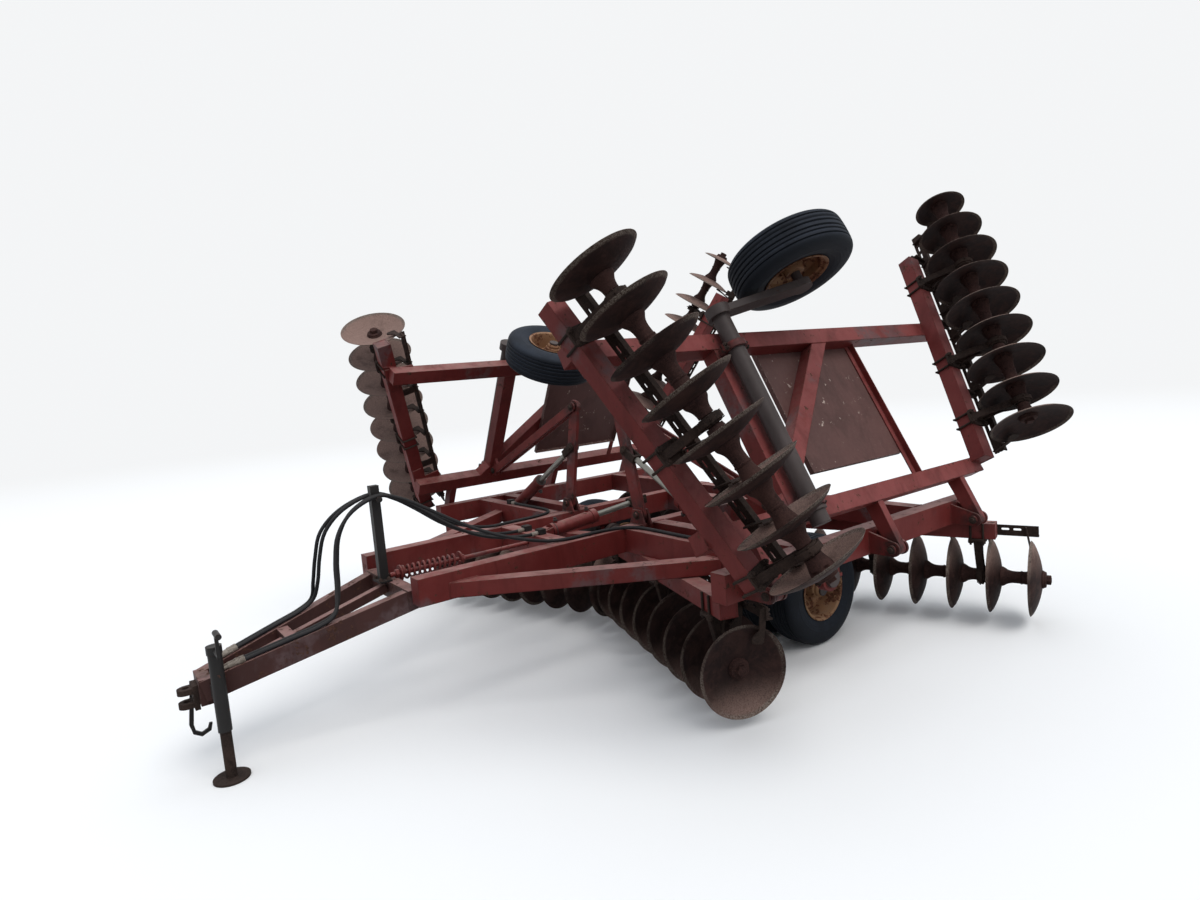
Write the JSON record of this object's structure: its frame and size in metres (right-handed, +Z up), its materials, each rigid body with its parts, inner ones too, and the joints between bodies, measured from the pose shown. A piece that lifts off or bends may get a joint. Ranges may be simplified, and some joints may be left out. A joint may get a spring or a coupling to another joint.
{
  "type": "disc harrow",
  "caption": "Trailed tandem disc harrow with folded wings, gangs of concave blades on spools, transport wheels on rockshafts, hitch and jack.",
  "frame": {"origin": "on the ground under the middle of the machine's length, midway between its sides", "axes": "+Z up, the hitch points to -Y, the machine's left side is +X"},
  "size_m": [4.7568, 5.3535, 2.9255],
  "materials": {
    "bare": "bright rod",
    "dark": "worn, dusty",
    "iron": "rusty",
    "plate": "faded",
    "red": "faded paint, worn",
    "rim": "rust-stained",
    "rubber": "dull",
    "rust": "rusty",
    "tyre": "weathered"
  },
  "bodies": {
    "chassis": {"frame": "red", "cross_tubes": "red", "front_beams": "red", "rear_beams": "red", "centre_hangers": "iron", "centre_scrapers": "iron", "tongue": "red", "hitch_clevis": "iron", "safety_hook": "dark", "jack_tube": "dark", "hose_post": "dark", "level_rod": "red", "hose_tips": "bare", "hose_blocks": "dark", "hose_a": "rubber", "hose_b": "rubber", "hose_c": "rubber", "hose_d": "rubber"},
    "jack_leg": {"jack_leg": "bare"},
    "rockshaft": {"rockshaft": "dark"},
    "lift_barrel": {"lift_barrel": "red"},
    "lift_rod": {"lift_rod": "bare"},
    "left_wheels": {"left_rims": "rim", "left_tyres": "tyre"},
    "gang_front_left": {"gang_front_left": "rust"},
    "gang_rear_left": {"gang_rear_left": "rust"},
    "left_wing": {"left_wing": "red", "left_wing_hangers": "iron", "left_wing_scrapers": "iron", "left_plate": "plate"},
    "wing_gang_front_left": {"wing_gang_front_left": "rust"},
    "wing_gang_rear_left": {"wing_gang_rear_left": "rust"},
    "left_wing_shaft": {"left_wing_shaft": "dark"},
    "left_wing_wheel": {"left_wing_rim": "rim", "left_wing_tyre": "tyre"},
    "left_lever": {"left_lever": "red"},
    "left_link": {"left_link": "dark"},
    "left_fold_barrel": {"left_fold_barrel": "red"},
    "left_fold_rod": {"left_fold_rod": "bare"},
    "right_wheels": {"right_rims": "rim", "right_tyres": "tyre"},
    "gang_front_right": {"gang_front_right": "rust"},
    "gang_rear_right": {"gang_rear_right": "rust"},
    "right_wing": {"right_wing": "red", "right_wing_hangers": "iron", "right_wing_scrapers": "iron", "right_plate": "plate"},
    "wing_gang_front_right": {"wing_gang_front_right": "rust"},
    "wing_gang_rear_right": {"wing_gang_rear_right": "rust"},
    "right_wing_shaft": {"right_wing_shaft": "dark"},
    "right_wing_wheel": {"right_wing_rim": "rim", "right_wing_tyre": "tyre"},
    "right_lever": {"right_lever": "red"},
    "right_link": {"right_link": "dark"},
    "right_fold_barrel": {"right_fold_barrel": "red"},
    "right_fold_rod": {"right_fold_rod": "bare"}
  },
  "joints": [
    {"name": "jack_slide", "type": "slide", "parent": "chassis", "child": "jack_leg", "axis": [0, 0, 1], "range_m": [0, 0.23]},
    {"name": "lift", "type": "hinge", "parent": "chassis", "child": "rockshaft", "pos_m": [0, 0.313, 0.605], "axis": [1, 0, 0], "range_deg": [-9, 30]},
    {"name": "lift_swing", "type": "hinge", "parent": "chassis", "child": "lift_barrel", "pos_m": [0, -0.472, 0.8], "axis": [1, 0, 0], "range_deg": [-2.2, 2.2]},
    {"name": "lift_stroke", "type": "slide", "parent": "lift_barrel", "child": "lift_rod", "axis": [0, 0.9946, 0.1037], "range_m": [-0.1466, 0.0454]},
    {"name": "left_wheels_spin", "type": "hinge", "parent": "rockshaft", "child": "left_wheels", "pos_m": [1, 0.74309, 0.35], "axis": [1, 0, 0], "continuous": true},
    {"name": "gang_front_left_spin", "type": "hinge", "parent": "chassis", "child": "gang_front_left", "pos_m": [1.64271, -0.41187, 0.296], "axis": [0.9511, -0.309, 0], "continuous": true},
    {"name": "gang_rear_left_spin", "type": "hinge", "parent": "chassis", "child": "gang_rear_left", "pos_m": [2.0043, 1.86723, 0.296], "axis": [0.9511, 0.309, 0], "continuous": true},
    {"name": "left_fold", "type": "hinge", "parent": "chassis", "child": "left_wing", "pos_m": [1.816, 0.763, 0.72], "axis": [0, 1, 0], "range_deg": [0, 119]},
    {"name": "wing_gang_front_left_spin", "type": "hinge", "parent": "left_wing", "child": "wing_gang_front_left", "pos_m": [1.42763, -0.977, 2.29521], "axis": [-0.4611, -0.309, 0.8318], "continuous": true},
    {"name": "wing_gang_rear_left_spin", "type": "hinge", "parent": "left_wing", "child": "wing_gang_rear_left", "pos_m": [1.14692, 2.503, 2.80162], "axis": [-0.4611, 0.309, 0.8318], "continuous": true},
    {"name": "left_wing_lift", "type": "hinge", "parent": "left_wing", "child": "left_wing_shaft", "pos_m": [1.80507, 0.043, 0.97692], "axis": [-0.4848, 0, 0.8746], "range_deg": [-10, 31]},
    {"name": "left_wing_wheel_spin", "type": "hinge", "parent": "left_wing_shaft", "child": "left_wing_wheel", "pos_m": [1.33046, 0.49044, 2.35912], "axis": [-0.4848, 0, 0.8746], "continuous": true},
    {"name": "left_lever_swing", "type": "hinge", "parent": "chassis", "child": "left_lever", "pos_m": [0.41, 0.003, 0.88], "axis": [0, 1, 0], "range_deg": [-1, 65.2]},
    {"name": "left_link_swing", "type": "hinge", "parent": "left_wing", "child": "left_link", "pos_m": [1.51697, 0.003, 1.05732], "axis": [0, 1, 0], "range_deg": [-120.8, 1]},
    {"name": "left_fold_swing", "type": "hinge", "parent": "chassis", "child": "left_fold_barrel", "pos_m": [1.29, 0.003, 0.735], "axis": [0, 1, 0], "range_deg": [-1, 8.1]},
    {"name": "left_fold_stroke", "type": "slide", "parent": "left_fold_barrel", "child": "left_fold_rod", "axis": [-0.8653, 0, 0.5012], "range_m": [-0.4456, 0.002]},
    {"name": "right_wheels_spin", "type": "hinge", "parent": "rockshaft", "child": "right_wheels", "pos_m": [-1, 0.74309, 0.35], "axis": [1, 0, 0], "continuous": true},
    {"name": "gang_front_right_spin", "type": "hinge", "parent": "chassis", "child": "gang_front_right", "pos_m": [-1.64271, -0.41187, 0.296], "axis": [0.9511, 0.309, 0], "continuous": true},
    {"name": "gang_rear_right_spin", "type": "hinge", "parent": "chassis", "child": "gang_rear_right", "pos_m": [-2.0043, 1.86723, 0.296], "axis": [0.9511, -0.309, 0], "continuous": true},
    {"name": "right_fold", "type": "hinge", "parent": "chassis", "child": "right_wing", "pos_m": [-1.816, 0.763, 0.72], "axis": [0, -1, 0], "range_deg": [0, 119]},
    {"name": "wing_gang_front_right_spin", "type": "hinge", "parent": "right_wing", "child": "wing_gang_front_right", "pos_m": [-1.42763, -0.977, 2.29521], "axis": [0.4611, -0.309, 0.8318], "continuous": true},
    {"name": "wing_gang_rear_right_spin", "type": "hinge", "parent": "right_wing", "child": "wing_gang_rear_right", "pos_m": [-1.14692, 2.503, 2.80162], "axis": [0.4611, 0.309, 0.8318], "continuous": true},
    {"name": "right_wing_lift", "type": "hinge", "parent": "right_wing", "child": "right_wing_shaft", "pos_m": [-1.80507, 0.043, 0.97692], "axis": [-0.4848, 0, -0.8746], "range_deg": [-120.7, 0]},
    {"name": "right_wing_wheel_spin", "type": "hinge", "parent": "right_wing_shaft", "child": "right_wing_wheel", "pos_m": [-0.66139, 0.11467, 1.98825], "axis": [-0.4848, 0, -0.8746], "continuous": true},
    {"name": "right_lever_swing", "type": "hinge", "parent": "chassis", "child": "right_lever", "pos_m": [-0.41, 0.003, 0.88], "axis": [0, -1, 0], "range_deg": [-1, 65.2]},
    {"name": "right_link_swing", "type": "hinge", "parent": "right_wing", "child": "right_link", "pos_m": [-1.51697, 0.003, 1.05732], "axis": [0, -1, 0], "range_deg": [-120.8, 1]},
    {"name": "right_fold_swing", "type": "hinge", "parent": "chassis", "child": "right_fold_barrel", "pos_m": [-1.29, 0.003, 0.735], "axis": [0, -1, 0], "range_deg": [-1, 8.1]},
    {"name": "right_fold_stroke", "type": "slide", "parent": "right_fold_barrel", "child": "right_fold_rod", "axis": [0.8653, 0, 0.5012], "range_m": [-0.4456, 0.002]}
  ],
  "couplings": [
    {"joint": "lift_swing", "follows": "lift", "ratio": 0.005235},
    {"joint": "lift_stroke", "follows": "lift", "m_per_rad": -0.27617},
    {"joint": "left_wing_lift", "follows": "lift", "ratio": 1},
    {"joint": "left_lever_swing", "follows": "left_fold", "ratio": 0.53924},
    {"joint": "left_link_swing", "follows": "left_fold", "ratio": -1.0068},
    {"joint": "left_fold_swing", "follows": "left_fold", "ratio": 0.059955},
    {"joint": "left_fold_stroke", "follows": "left_fold", "m_per_rad": -0.21358},
    {"joint": "right_lever_swing", "follows": "right_fold", "ratio": 0.53924},
    {"joint": "right_link_swing", "follows": "right_fold", "ratio": -1.0068},
    {"joint": "right_fold_swing", "follows": "right_fold", "ratio": 0.059955},
    {"joint": "right_fold_stroke", "follows": "right_fold", "m_per_rad": -0.21358}
  ]
}
